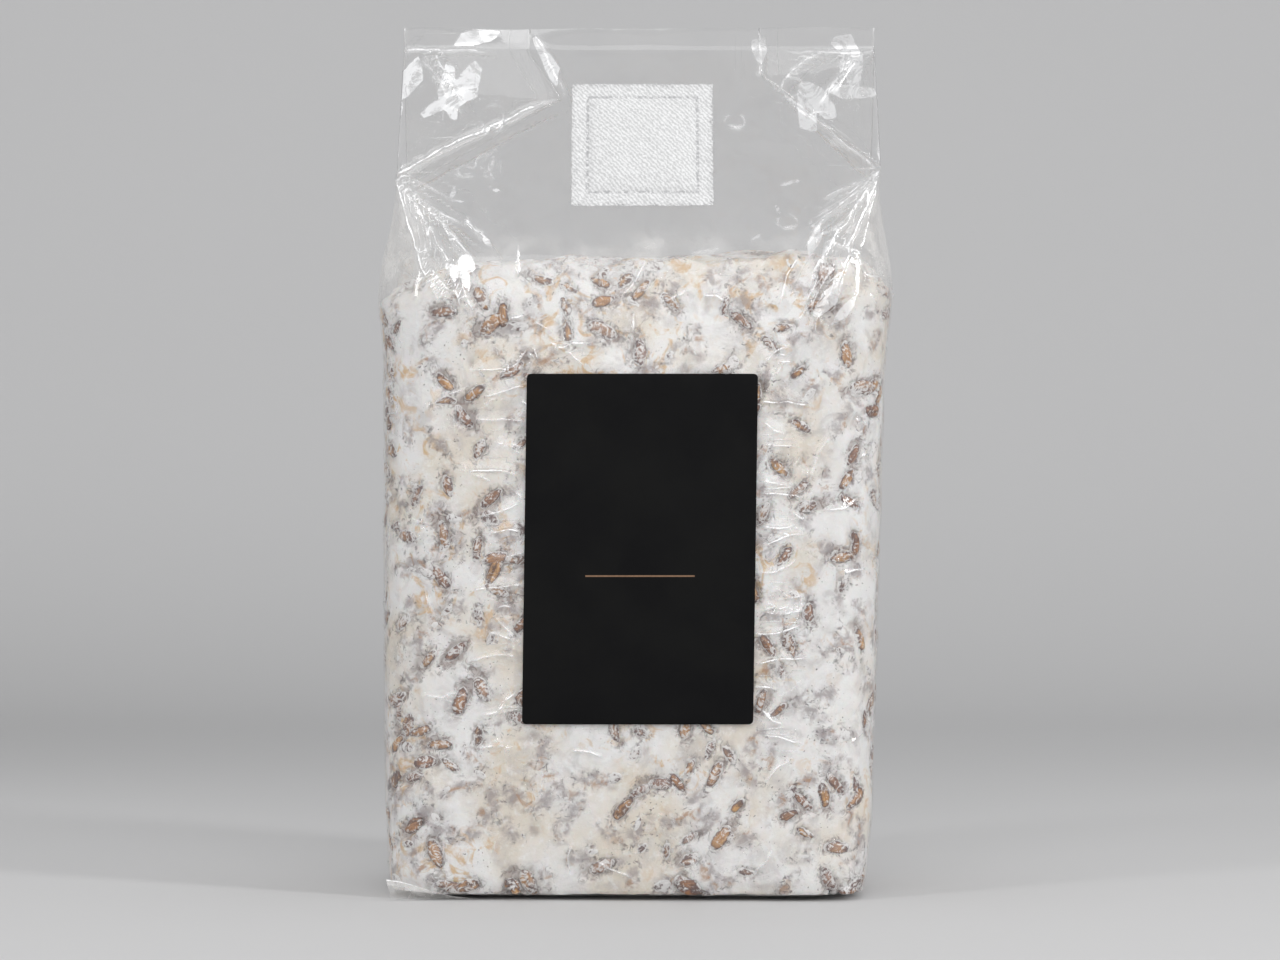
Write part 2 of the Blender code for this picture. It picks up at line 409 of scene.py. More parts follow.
def build_mycelium(grid, seeds, finish):
    """The block's mesh, and how far each point of its grid lies under the film."""
    rows, columns = grid.shape[:2]
    moved, drop, shares = grown_surface(grid, seeds)
    depth = np.clip(drop.ravel() / VALLEY, 0, 1)
    points = moved.reshape(-1, 3)
    ends = [moved[0].mean(axis=0), moved[-1].mean(axis=0)]
    faces = grid_faces(rows, columns, True)
    low, high = len(points), len(points) + 1
    last = (rows - 1) * columns
    for i in range(columns):
        j = (i + 1) % columns
        faces.append((j, i, low))
        faces.append((last + i, last + j, high))
    block = mesh_object("mycelium_block", np.concatenate([points, ends]), faces, finish)
    for name, values in {"depth": depth, **shares}.items():
        set_attribute(block, name, np.concatenate([values, values[[0, -1]]]))
    return block, drop


def kernel_template():
    """One grain lying along X, its crease up: points, faces and each point's place along it."""
    around, along = 12, 8
    points = []
    for i in range(along):
        share = -math.cos(math.pi * (i + 0.35) / (along - 0.3))
        girth = (1 - abs(share) ** 2.3) ** 0.6 * (1 - 0.13 * share)
        for j in range(around):
            turn = 2 * math.pi * j / around
            crease = 1 - 0.3 * math.exp(-(((turn - math.pi / 2) / 0.33) ** 2))
            width = 0.5 * girth * math.cos(turn)
            depth = 0.5 * girth * math.sin(turn) * crease
            points.append((0.5 * share, width, depth))
    faces = grid_faces(along, around, True)
    points += [(-0.5, 0, 0), (0.5, 0, 0)]
    low, high, last = len(points) - 2, len(points) - 1, (along - 1) * around
    for j in range(around):
        k = (j + 1) % around
        faces.append((k, j, low))
        faces.append((last + j, last + k, high))
    return np.array(points), faces


def point_tree(points):
    tree = KDTree(len(points))
    for index, point in enumerate(points):
        tree.insert(point, index)
    tree.balance()
    return tree


def placed_kernel(seed, template):
    """The grain's points where its seed puts it, rolled about its length and sunk into the mycelium."""
    turned = template * (KERNEL_LENGTH, KERNEL_WIDTH, KERNEL_DEPTH) * seed["size"]
    flank, deep = turned[:, 1].copy(), turned[:, 2].copy()
    turned[:, 1] = flank * math.cos(seed["roll"]) - deep * math.sin(seed["roll"])
    turned[:, 2] = flank * math.sin(seed["roll"]) + deep * math.cos(seed["roll"])
    axes = np.array([seed["long"], seed["wide"], seed["normal"]])
    middle = seed["middle"] - seed["normal"] * (turned[:, 2].max() + seed["sink"])
    points = middle + turned @ axes
    points += 0.12 * MM * noise(points, 2 * MM, 12)[:, None] * seed["normal"]
    points[:, 2] = np.maximum(points[:, 2], 1.2 * MM)
    return points


def build_kernels(seeds, grid, block, finish):
    """The bare and veiled grains, joined in one mesh, with how high each point stands over the mycelium."""
    ground_tree = point_tree([v.co.copy() for v in block.data.vertices])
    pressed, outward = grid.reshape(-1, 3), grid_normals(grid).reshape(-1, 3)
    pressed_tree = point_tree(pressed)
    template, template_faces = kernel_template()
    along = template[:, 0] + 0.5
    across = np.degrees(np.arctan2(template[:, 2], template[:, 1])) / 180
    grains, faces = [], []
    marks = {name: [] for name in ("above", "along", "across", "tone", "veil")}
    for seed in seeds:
        if seed["kind"] == "buried" or seed["middle"][2] < SIDE_HEIGHTS[0]:
            continue
        points = placed_kernel(seed, template)
        heights = np.empty(len(points))
        for index, point in enumerate(points):
            nearest = pressed_tree.find(point)[1]
            over = (point - pressed[nearest]) @ outward[nearest] + 0.15 * MM
            point -= outward[nearest] * max(over, 0.0)
            ground = np.mean([found[0] for found in ground_tree.find_n(point, 3)], axis=0)
            heights[index] = (point - ground) @ seed["normal"]
        if heights.max() < 0.15 * MM:
            continue
        first = len(grains) * len(template)
        faces += [tuple(first + k for k in face) for face in template_faces]
        grains.append(points)
        for name, value in zip(marks, (heights / MM, along, across, seed["tone"], seed["veil"])):
            marks[name].append(np.full(len(points), value))
    made = mesh_object("grain_kernels", np.concatenate(grains), faces, finish)
    for name, values in marks.items():
        set_attribute(made, name, values)
    return made


# ---------------------------------------------------------------- film

HEAD_ROWS = 69
SEAL_Y = -8 * MM


def bowed(start, end, bow):
    """Five points from start to end whose middle stands off the straight line by bow."""
    start, end = np.array(start, float), np.array(end, float)
    along = end - start
    across = np.array([-along[1], along[0]]) / np.hypot(*along)
    shares = np.linspace(0, 1, 5)[:, None]
    return start + along * shares + across * bow * 4 * shares * (1 - shares)


def fold_creases(fold):
    """The front's creases along one gusset's fold: up from the panel's edge to its apex, then to the seal."""
    (edge_x, edge_z), (apex_x, apex_z) = np.array(fold["edge"]) / MM, np.array(fold["apex"]) / MM
    top = (fold["top"] / MM, BAG_TOP / MM)
    return [
        (bowed((edge_x, edge_z), (apex_x, apex_z), 1.0), fold["shine"]),
        (bowed((apex_x, apex_z), top, -0.5), 0.65),
    ]


def shoulder_creases(fold, rng):
    """Slack creases that fan down over the grain from the place where a gusset starts to fold."""
    edge = np.array(fold["edge"]) / MM
    inward = -math.copysign(1.0, edge[0])
    made = []
    for share in np.linspace(0, 1, 5):
        turn = math.radians(lerp(25, 68, share))
        length = lerp(30, 62, share) * rng.uniform(0.8, 1.0)
        end = edge + length * np.array([inward * math.cos(turn), -math.sin(turn)])
        made.append((bowed(edge, end, inward * rng.uniform(-2, 3)), lerp(0.35, 1.0, share)))
    for _ in range(7):
        start = edge + (inward * rng.uniform(8, 32), -rng.uniform(16, 46))
        fall = np.array([inward * rng.uniform(1, 9), -rng.uniform(7, 20)])
        made.append((bowed(start, start + fall, rng.uniform(-1.5, 1.5)), rng.uniform(0.4, 0.95)))
    return made


def corner_creases(fold, rng):
    """Creases under one end of the seal: along it, and slanting down from it."""
    corner, inward = seal_corner(fold)
    made = [(bowed(corner, corner + (inward * 35, 0), 0.3), 0.4 + 0.15 * fold["shine"])]
    for _ in range(3):
        start = corner + (inward * rng.uniform(4, 24), -rng.uniform(1, 6))
        fall = np.array([inward * rng.uniform(4, 16), -rng.uniform(10, 22)])
        made.append((bowed(start, start + fall, rng.uniform(-3, 3)), rng.uniform(0.4, 0.8)))
    return made


def seal_corner(fold):
    """Where the seal meets the panel's edge on a gusset's side, in mm, and which way is inward."""
    side = math.copysign(1.0, fold["edge"][0])
    return np.array([side * SEAL_HALF_WIDTH, SEAL_HEIGHT]) / MM, -side


def label_creases(rng):
    """Stretch creases that run out sideways from the label, where the film pulls on its edge."""
    made = []
    for side in (-1, 1):
        edge_x = LABEL_ASIDE / MM + side * LABEL_WIDTH / 2 / MM
        for place in np.linspace(-0.55, 0.52, 15):
            z = LABEL_MIDDLE / MM + LABEL_HEIGHT / MM * place + rng.uniform(-3, 3)
            start = (edge_x + side * rng.uniform(0.5, 4), z)
            end = (edge_x + side * rng.uniform(9, 22), z + rng.normal(0, 3))
            made.append((bowed(start, end, rng.uniform(-1.6, 1.6)), rng.uniform(0.45, 1.0)))
    return made


def named_creases():
    """Every crease that belongs to a feature of the front: (points in mm, how strong it is)."""
    rng = np.random.default_rng(SEED + 7)
    made = fold_creases(LEFT_FOLD) + fold_creases(RIGHT_FOLD)
    made += shoulder_creases(LEFT_FOLD, rng) + shoulder_creases(RIGHT_FOLD, rng)
    made += label_creases(rng)
    made += corner_creases(LEFT_FOLD, rng) + corner_creases(RIGHT_FOLD, rng)
    return made


def glints(fold, rng):
    """Painted highlights round one gusset, shaped like crumpled sheets: each one's middle, length, width,
    turn and brightness.
    """
    corner, inward = seal_corner(fold)
    edge, apex = np.array(fold["edge"]) / MM, np.array(fold["apex"]) / MM
    fin = np.array([fold["top"], BAG_TOP]) / MM
    glare = fold["glare"]
    made = []
    for _ in range(5):
        hanging = corner + (inward * rng.uniform(3, 26), -rng.uniform(8, 24))
        length, width, turn = rng.uniform(14, 28), rng.uniform(6, 12), inward * rng.uniform(10, 100)
        made.append((hanging, length, width, turn, glare))
    on_fin = lerp(corner, fin, rng.uniform(0.2, 0.8))
    made.append((on_fin, rng.uniform(14, 30), rng.uniform(4, 9), inward * rng.uniform(0, 45), glare))
    rising = fin - apex
    slope = np.degrees(np.arctan2(rising[1], rising[0]))
    made.append(((apex + fin) / 2, 0.8 * np.hypot(*rising), 6, slope, 0.75 * glare))
    on_edge = lerp(edge, corner, rng.uniform(0.1, 0.7))
    made.append((on_edge, rng.uniform(8, 18), rng.uniform(3, 6), rng.uniform(60, 120), 0.9 * glare))
    for _ in range(3):
        shoulder = edge + (inward * rng.uniform(14, 30), -rng.uniform(18, 54))
        length, width, turn = rng.uniform(10, 20), rng.uniform(3, 6), -inward * rng.uniform(50, 75)
        made.append((shoulder, length, width, turn, 0.9 * glare))
    for _ in range(6):
        loose = edge + (inward * rng.uniform(20, 48), rng.uniform(-26, -2))
        made.append((loose, rng.uniform(5, 12), rng.uniform(1.5, 3), rng.uniform(0, 180), 0.65 * glare))
    return made


def puckers(rng):
    """Small lens-shaped puckers of the headspace: middle's x and z, half width, half height, strength."""
    made = []
    low, high = BODY_TOP / MM + 12, SEAL_HEIGHT / MM - 8
    while len(made) < 8:
        x, z = rng.uniform(-78, 78), rng.uniform(low, high)
        if abs(x - PATCH_ASIDE / MM) > 34 or abs(z - PATCH_MIDDLE / MM) > 32:
            made.append((x, z, rng.uniform(1.5, 4), rng.uniform(2, 6), rng.uniform(0.35, 0.7)))
    return made


def glint_outline(length, width, turn, rng):
    """The corners of one painted highlight round its middle: a ragged long shape."""
    corners = []
    for angle in np.linspace(0, 2 * math.pi, 8)[:-1] + rng.uniform(-0.3, 0.3, 7):
        reach = rng.uniform(0.55, 1.25)
        along, across = 0.5 * length * reach * math.cos(angle), 0.5 * width * reach * math.sin(angle)
        x = along * math.cos(turn) - across * math.sin(turn)
        z = along * math.sin(turn) + across * math.cos(turn)
        corners.append((x, z))
    return np.array(corners)


class Creases:
    """The crease nearest to each point of the film: its signed distance in mm, and how strong it is there."""

    def __init__(self, shape):
        self.away = np.full(shape, 9.0)
        self.power = np.zeros(shape)

    def offer(self, away, power, where):
        """Takes these distances and strengths wherever they are nearer than what is held."""
        nearer = np.abs(away) < np.abs(self.away[where])
        self.away[where] = np.where(nearer, away, self.away[where])
        self.power[where] = np.where(nearer, power, self.power[where])

    def line(self, x, z, points, power, where):
        points = np.array(points, float)
        lengths = np.linalg.norm(np.diff(points, axis=0), axis=1)
        before = 0.0
        for start, end, length in zip(points, points[1:], lengths):
            away, share = line_distance(x, z, start, end)
            turn = (x - start[0]) * (end[1] - start[1]) - (z - start[1]) * (end[0] - start[0])
            along = (before + np.clip(share, 0, 1) * length) / lengths.sum()
            taper = ramp(along, 0.0, 0.05) * ramp(along, 1.0, 0.75)
            self.offer(np.where(turn < 0, -away, away), power * taper, where)
            before += length

    def lens(self, x, z, middle_x, middle_z, half_width, half_height, power, where):
        reach = np.hypot((x - middle_x) / half_width, (z - middle_z) / half_height)
        turn = np.arctan2((z - middle_z) / half_height, (x - middle_x) / half_width)
        patchy = 0.45 + 0.55 * np.cos(turn - middle_x) * np.cos(2 * turn + middle_z)
        self.offer((reach - 1) * min(half_width, half_height), power * patchy, where)

    def heights(self, width):
        """How far a soft ridge of this width in mm stands up along the creases, 0 to 1."""
        return self.power * np.exp(-np.abs(self.away / width) ** 1.3)


def polygon_depth(x, z, corners):
    """How far inside a polygon each (x, z) is; less than 0 outside it."""
    inside = np.zeros(x.shape, bool)
    nearest = np.full(x.shape, 99.0)
    for (ax, az), (bx, bz) in zip(corners, corners[1:] + corners[:1]):
        away, _ = line_distance(x, z, (ax, az), (bx, bz))
        nearest = np.minimum(nearest, away)
        crosses = (az > z) != (bz > z)
        inside ^= crosses & (x < (bx - ax) * (z - az) / np.where(bz == az, 1.0, bz - az) + ax)
    return np.where(inside, nearest, -nearest)


def facet_glare(x, z):
    """For each (x, z) in mm: how deep it lies in a painted highlight of a facet, in edge widths, and how
    bright that is.
    """
    depth = np.full(x.shape, -9.0)
    bright = np.zeros(x.shape)
    rng = np.random.default_rng(SEED + 8)
    for middle, length, width, turn, power in glints(LEFT_FOLD, rng) + glints(RIGHT_FOLD, rng):
        outline = glint_outline(length, width, math.radians(turn), rng) + middle
        inside = np.clip(polygon_depth(x, z, [tuple(c) for c in outline]) / 0.4, -9, 9)
        bright = np.where(inside > depth, power, bright)
        depth = np.maximum(depth, inside)
    return depth, bright


def facet_field(x, z, spacing, amplitude, seed):
    """Heights of a crumpled sheet at each (x, z): flat facets between corners of random height."""
    rng = np.random.default_rng(seed)
    corners = np.array(
        [
            (a, b)
            for a in np.arange(x.min() - 2 * spacing, x.max() + 2 * spacing, spacing)
            for b in np.arange(z.min() - 2 * spacing, z.max() + 2 * spacing, spacing)
        ]
    )
    corners += rng.uniform(-0.45, 0.45, corners.shape) * spacing
    heights = rng.normal(0, amplitude, len(corners))
    made = delaunay_2d_cdt([Vector(c) for c in corners], [], [], 0, 1e-9)
    points = [Vector((p.x, p.y, heights[source[0]])) for p, source in zip(made[0], made[3])]
    tree = BVHTree.FromPolygons(points, made[2])
    down = Vector((0, 0, -1))
    flat = zip(x.ravel(), z.ravel())
    found = [tree.ray_cast(Vector((a, b, 1.0)), down)[0] for a, b in flat]
    return np.array([hit.z if hit else 0.0 for hit in found]).reshape(x.shape)


def panel_depths(heights):
    """The y of the front and back panels at each height, from the solid, beside its window."""
    tree = solid_tree("bag_film")
    beside, far = 0.7 * PATCH_SIDE, 0.2
    front, back = [], []
    for height in heights:
        if height < SEAL_HEIGHT:
            front.append(tree.ray_cast(Vector((beside, -far, height)), Vector((0, 1, 0)))[0].y)
            back.append(tree.ray_cast(Vector((beside, far, height)), Vector((0, -1, 0)))[0].y)
        else:
            front.append(SEAL_Y - 0.5 * MM)
            back.append(SEAL_Y + 0.5 * MM)
    return np.array(front), np.array(back)


def half_gusset(fold, height, depths, from_front):
    """Points of half a side gusset from its crease at the panel's edge to the gusset's middle."""
    front, back = depths(height)
    (edge_x, edge_z), (apex_x, apex_z) = fold["edge"], fold["apex"]
    side = math.copysign(1.0, edge_x)
    opened = float(np.clip((height - edge_z) / (apex_z - edge_z), 0, 1))
    raised = float(np.clip((height - edge_z) / (SEAL_HEIGHT - edge_z), 0, 1))
    panel = front if from_front else back
    edge = np.array([lerp(edge_x, side * SEAL_HALF_WIDTH, raised), panel])
    start = np.array([edge_x, depths(edge_z)[0 if from_front else 1]])
    apex = np.array([apex_x, sum(depths(apex_z)) / 2])
    over_apex = float(np.clip((height - apex_z) / (SEAL_HEIGHT - apex_z), 0, 1))
    inner = lerp(apex_x, fold["top"], over_apex)
    crease = lerp(start, apex, opened) if opened < 1 else np.array([inner, (front + back) / 2])
    if opened == 0:
        crease = edge
    middle = np.array([crease[0], (front + back) / 2])
    shares = np.arange(GUSSET_STEPS) / GUSSET_STEPS
    line = []
    for share in shares:
        if share < opened:
            line.append(lerp(edge, crease, share / opened))
        else:
            line.append(lerp(crease, middle, (share - opened) / max(1 - opened, 1e-6)))
    away = (shares - opened) * GUSSET_DEPTH / MM if 0 < opened else np.full(GUSSET_STEPS, 9.0)
    return np.array(line), edge, middle, away


def headspace(body_row):
    """The film's rows over the grain, from the body's last row up, and how far each point is from a fold."""
    heights = np.linspace(BODY_TOP, BAG_TOP, HEAD_ROWS + 1)[1:]
    probe = np.linspace(BODY_TOP - 2 * MM, BAG_TOP, 120)
    front_line, back_line = panel_depths(probe)

    def depths(height):
        return np.interp(height, probe, front_line), np.interp(height, probe, back_line)

    share = (np.arange(FRONT_STEPS) / FRONT_STEPS)[:, None]
    far = np.full(FRONT_STEPS, 9.0)

    def row_at(height):
        front_left, left_edge, left_mid, left_away = half_gusset(LEFT_FOLD, height, depths, True)
        front_right, right_edge, right_mid, right_away = half_gusset(RIGHT_FOLD, height, depths, True)
        back_left, back_left_edge, _, _ = half_gusset(LEFT_FOLD, height, depths, False)
        back_right, back_right_edge, _, _ = half_gusset(RIGHT_FOLD, height, depths, False)
        front, back = lerp(left_edge, right_edge, share), lerp(back_right_edge, back_left_edge, share)
        right = [front_right, [right_mid], back_right[:0:-1]]
        left = [back_left, [left_mid], front_left[:0:-1]]
        left_middle = 0.0 if left_away[0] < -45.9 else 9.0
        right_middle = 0.0 if right_away[0] < -45.9 else 9.0
        right_half = [right_away, [right_middle], right_away[:0:-1]]
        left_half = [left_away, [left_middle], left_away[:0:-1]]
        points = np.concatenate([front, *right, back, *left])
        return points, np.concatenate([far, *right_half, far, *left_half])

    step = body_row[:, :2] - row_at(BODY_TOP)[0]
    rows, fold_rows = [], []
    for height in heights:
        row, fold_row = row_at(height)
        left_rise = ramp(height, BODY_TOP, LEFT_FOLD["edge"][1])
        right_rise = ramp(height, BODY_TOP, RIGHT_FOLD["edge"][1])
        rise = lerp(left_rise, right_rise, ramp(row[:, 0], -0.09, 0.09))[:, None]
        rows.append(row + step * (1 - rise))
        fold_rows.append(fold_row)
    made = np.array(rows)
    made = np.concatenate([made, np.repeat(heights[:, None, None], COLUMNS, axis=1)], axis=2)
    return made, np.array(fold_rows)


def tube_place(grid):
    """How far round the tube each point is, from the front-left crease, and its height, in metres."""
    step = 2 * HALF_WIDTH / FRONT_STEPS
    around = np.repeat(np.arange(COLUMNS)[None] * step, len(grid), axis=0)
    return around, grid[..., 2]


def column_numbers(rows):
    return np.arange(COLUMNS)[None] + np.zeros((rows, 1))


def part_masks(columns):
    """Which columns are the front panel's and the back panel's."""
    return columns < FRONT_STEPS, (columns >= BACK_START) & (columns < BACK_START + FRONT_STEPS)


def clear_of(x, z, middle, width, height, margin):
    """0 over a rectangle on the front and 1 beyond a margin round it."""
    out = np.maximum(np.abs(x) - width / 2, np.abs(z - middle) - height / 2)
    return ramp(out, 0.0, margin)


def crumple(grid, creases):
    """How far each film point stands out of its smooth place: billows, facets and creases."""
    around, z = tube_place(grid)
    x = grid[..., 0]
    columns = column_numbers(len(grid))
    front, back = part_masks(columns)
    in_head = ramp(z, BODY_TOP - 6 * MM, BODY_TOP + 14 * MM)
    under_seal = ramp(z, SEAL_HEIGHT, SEAL_HEIGHT - 16 * MM)
    off_crease = ramp(edge_columns(columns) * 1.25 * MM, 0.0, 7 * MM)
    free = clear_of(x - PATCH_ASIDE, z, PATCH_MIDDLE, PATCH_SIDE, 48 * MM, 7 * MM)
    free *= clear_of(x - LABEL_ASIDE, z, LABEL_MIDDLE, LABEL_WIDTH, LABEL_HEIGHT, 5 * MM)
    free = np.where(front, free, 1.0)

    corner = np.exp(-(((np.abs(x) - 75 * MM) / (22 * MM)) ** 2))
    billow = 1.2 * MM * grid_noise(grid, 46 * MM, 21)
    coarse = facet_field(around, z, 17 * MM, 0.38 * MM, 31)
    fine = facet_field(around, z, 6.5 * MM, 0.16 * MM, 32)
    head = billow + coarse + fine * (0.3 + 1.4 * corner)
    panel = np.where(front | back, 1.0, 0.5)
    out = head * in_head * under_seal * off_crease * free * panel
    return out + 0.75 * MM * creases.heights(1.4) * ramp(z, BAG_TOP, SEAL_HEIGHT - 4 * MM) * free


def edge_columns(columns):
    """How many columns each point is from the nearest edge of its panel or gusset."""
    edges = (0, FRONT_STEPS, BACK_START, BACK_START + FRONT_STEPS, COLUMNS)
    return np.minimum.reduce([np.abs(columns - edge) for edge in edges])


def film_creases(grid, gusset_away):
    """Every crease of the film: the panels' edges, the folds, the named ones and small stretch lines."""
    around, z = tube_place(grid)
    around, z, x = around / MM, z / MM, grid[..., 0] / MM
    columns = column_numbers(len(grid))
    front, back = part_masks(columns)
    x = x + 0.7 * grid_noise(grid, 7 * MM, 81) + 0.35 * grid_noise(grid, 3.2 * MM, 82)
    z = z + 0.7 * grid_noise(grid, 7 * MM, 83) + 0.35 * grid_noise(grid, 3.2 * MM, 84)
    found = Creases(z.shape)
    for points, power in named_creases():
        found.line(x[front], z[front], points, power, front)
        found.line(x[back], z[back], points + (3, -2), 0.7 * power, back)
    rng = np.random.default_rng(SEED + 5)
    for pucker in puckers(rng):
        found.lens(x[front], z[front], *pucker, front)
    for _ in range(330):
        middle = np.array([rng.uniform(0, around.max()), rng.uniform(8, 240)])
        turn = rng.normal(0, 0.5) + (math.pi / 2 if rng.uniform() < 0.25 else 0)
        half = rng.uniform(1.5, 9) * np.array([math.cos(turn), math.sin(turn)])
        bend = rng.uniform(-0.25, 0.25) * np.array([-half[1], half[0]])
        near = (np.abs(around - middle[0]) < 16) & (np.abs(z - middle[1]) < 16)
        points = (middle - half, middle + bend, middle + half)
        found.line(around[near], z[near], points, rng.uniform(0.2, 0.85) ** 1.5, near)
    upper = z > 266
    edge = edge_columns(columns) * 1.25
    found.offer(edge[upper], 0.55 * ramp(z[upper], 262, 275), upper)
    folds = np.abs(gusset_away) < 8
    found.offer(gusset_away[folds], np.full(folds.sum(), 0.95), folds)
    return found


def film_over_grain(block, drop):
    """The film where it clings to the grain: it bridges the hollows between the lumps."""
    hold = drop.copy()
    for _ in range(3):
        around = np.minimum(np.roll(hold, 1, axis=1), np.roll(hold, -1, axis=1))
        hold = np.minimum(hold, around)
        hold[1:-1] = np.minimum(hold[1:-1], np.minimum(hold[:-2], hold[2:]))
    hold = smooth_rows(hold, 3)
    return block + grid_normals(block) * (0.35 * MM - 0.8 * hold)[..., None]


def hem_points():
    """The bottom seal's loose ear: a strip along the foot's front left that curls up at its end."""
    across, up = 26, 7
    points = []
    for i in range(up):
        for j in range(across):
            along, high = j / (across - 1), i / (up - 1)
            x = lerp(-85 * MM, -50 * MM, along)
            tall = 8.5 * MM * (1 - ramp(along, 0.1, 0.95))
            curl = 2.2 * high * (1 - 0.6 * along)
            front = -47 * MM - 1.4 * MM * math.cos(along * 3)
            y = front - tall * 0.45 * math.sin(curl)
            z = 0.5 * MM + tall * (1 - math.cos(curl)) * 0.55
            points.append((x - 2.5 * MM * high * (1 - along), y, z))
    return np.array(points), up, across


def film_mist(grid):
    """Where the film is fogged by the damp grain: along the grain's top edge and at the upper corners."""
    x, z = grid[..., 0], grid[..., 2]
    patchy = grid_noise(grid, 12 * MM, 71)
    edge = ramp(z, 222 * MM, 233 * MM) * ramp(z, 247 * MM, 236 * MM) * (0.35 + 0.6 * patchy)
    corner = ramp(np.abs(x), 70 * MM, 86 * MM) * ramp(z, 205 * MM, 235 * MM) * ramp(z, 270 * MM, 246 * MM)
    return np.clip(np.maximum(edge, 0.9 * corner), 0, 1)


def film_grid(body):
    """The film's points from its foot to its seal fin, before the bag settles, and its creases."""
    head, head_folds = headspace(body[-1])
    foot = []
    for share in (0.02, 0.35, 0.7, 0.93):
        row = body[0] * share
        row[:, 2] = 0.35 * MM + 1.5 * MM * share**8
        foot.append(row)
    grid = smooth_rows(np.concatenate([np.array(foot), body, head]), 1)
    grid[-1, :, 2] = BAG_TOP
    gusset_away = np.concatenate([np.full((len(grid) - len(head), COLUMNS), 9.0), head_folds])
    creases = film_creases(grid, gusset_away)
    grid = grid + grid_normals(grid) * crumple(grid, creases)[..., None]
    over_seal = ramp(grid[..., 2], SEAL_HEIGHT, BAG_TOP)
    wave = grid_noise(grid * (1, 0, 0), 38 * MM, 41)
    grid[..., 1] += (1.6 * wave - 1.3) * MM * over_seal
    grid[..., 2] -= 0.5 * MM * (1 + wave) * over_seal
    grid[..., 2] = np.maximum(grid[..., 2], 0.2 * MM)
    return grid, creases


def build_film(body, finish):
    """The whole film bag, with the patch's window cut out and the hem's ear added."""
    straight, creases = film_grid(body)
    x, z = straight[..., 0], straight[..., 2]
    front = column_numbers(len(straight)) <= FRONT_STEPS
    depth, bright = facet_glare(np.where(front, x / MM, 0.0), np.where(front, z / MM, 0.0))
    mist = film_mist(straight)
    window = (np.abs(x - PATCH_ASIDE) < 17 * MM) & (np.abs(z - PATCH_MIDDLE) < 15 * MM)
    window[:, FRONT_STEPS:] = False
    open_air = window.ravel()

    points = settle(straight).reshape(-1, 3)
    faces = [f for f in grid_faces(len(straight), COLUMNS, True) if not all(open_air[i] for i in f)]
    centre = len(points)
    points = np.concatenate([points, [points[:COLUMNS].mean(axis=0)]])
    faces += [((i + 1) % COLUMNS, i, centre) for i in range(COLUMNS)]
    ear, up, across = hem_points()
    faces += grid_faces(up, across, False, len(points))
    points = np.concatenate([points, settle(ear)])
    film = mesh_object("film_bag", points, faces, finish)
    ear_rim = np.minimum(np.arange(up)[::-1, None] * 1.2, 9.0) + np.zeros((up, across))
    # The creases and glare carry painted highlights in the film's finish; on the ear, a painted highlight
    # line runs along its curled top.
    for name, values, at_centre, on_ear in (
        ("crease", creases.away, 9.0, ear_rim),
        ("crease_power", creases.power, 0.0, 0.9 + 0 * ear_rim),
        ("glare", depth, -9.0, -9.0 + 0 * ear_rim),
        ("glare_power", bright, 0.0, 0 * ear_rim),
        ("mist", mist, 0.0, 1.0 + 0 * ear_rim),
    ):
        set_attribute(film, name, np.concatenate([values.ravel(), [at_centre], on_ear.ravel()]))
    return film


# ---------------------------------------------------------------- patch and label


def lean_frame(height, stand_off):
    """Where a flat thing lies on the leaning front panel: its own +Z points out of the panel."""
    (low, high), _ = panel_depths([height - 10 * MM, height + 10 * MM])
    slope = (high - low) / (20 * MM)
    outward = Vector((0, -1, slope)).normalized()
    upward = Vector((0, slope, 1)).normalized()
    place = Vector(settle(np.array([PATCH_ASIDE, (low + high) / 2, height]))) + outward * stand_off
    turned = Matrix((upward.cross(outward), upward, outward)).transposed().to_4x4()
    return Matrix.Translation(place) @ turned


def patch_relief(x, y):
    """The patch's height: fluffy flat border, pressed dashes of the weld, crowned membrane."""
    out = np.maximum(np.abs(x), np.abs(y))
    along = np.where(np.abs(x) > np.abs(y), y, x)
    dash = 0.55 + 0.45 * np.tanh(5 * np.sin(along * 2 * math.pi / (2.3 * MM)) + 1.5)
    weld = np.exp(-(((out - WELD_LINE) / (0.45 * MM)) ** 2))
    inside = np.clip(1 - out / WELD_LINE, 0, 1)
    crown = 1.5 * MM * (1 - (1 - inside) ** 5) * ramp(inside, 0.0, 0.1)
    flat = np.stack([x, y, np.zeros_like(x)], axis=-1)
    fluff = 0.1 * MM * grid_noise(flat, 1.4 * MM, 51)
    dents = 0.22 * MM * grid_noise(flat, 6 * MM, 52)
    return 0.35 * MM + crown - 0.5 * MM * weld * dash + fluff + dents


def build_patch(finish):
    steps = 126
    line = np.linspace(-PATCH_SIDE / 2, PATCH_SIDE / 2, steps)
    x, y = np.meshgrid(line, line)
    flat = np.stack([x, y, np.zeros_like(x)], axis=-1)
    rim = ramp(np.maximum(np.abs(x), np.abs(y)), PATCH_SIDE / 2 - 1.5 * MM, PATCH_SIDE / 2)
    ragged = 0.3 * MM * grid_noise(flat, 1.1 * MM, 53) * rim
    points = np.stack([x + ragged * np.sign(x), y + ragged * np.sign(y), patch_relief(x, y)], axis=-1)
    sheet_points = points.reshape(-1, 3)
    faces = grid_faces(steps, steps, False)
    hairs, hair_faces = fibre_points(len(sheet_points))
    points = np.concatenate([sheet_points, hairs])
    patch = mesh_object("filter_cloth_patch", points, faces + hair_faces, finish)
    patch.matrix_world = lean_frame(PATCH_MIDDLE, 0.5 * MM)
    return patch


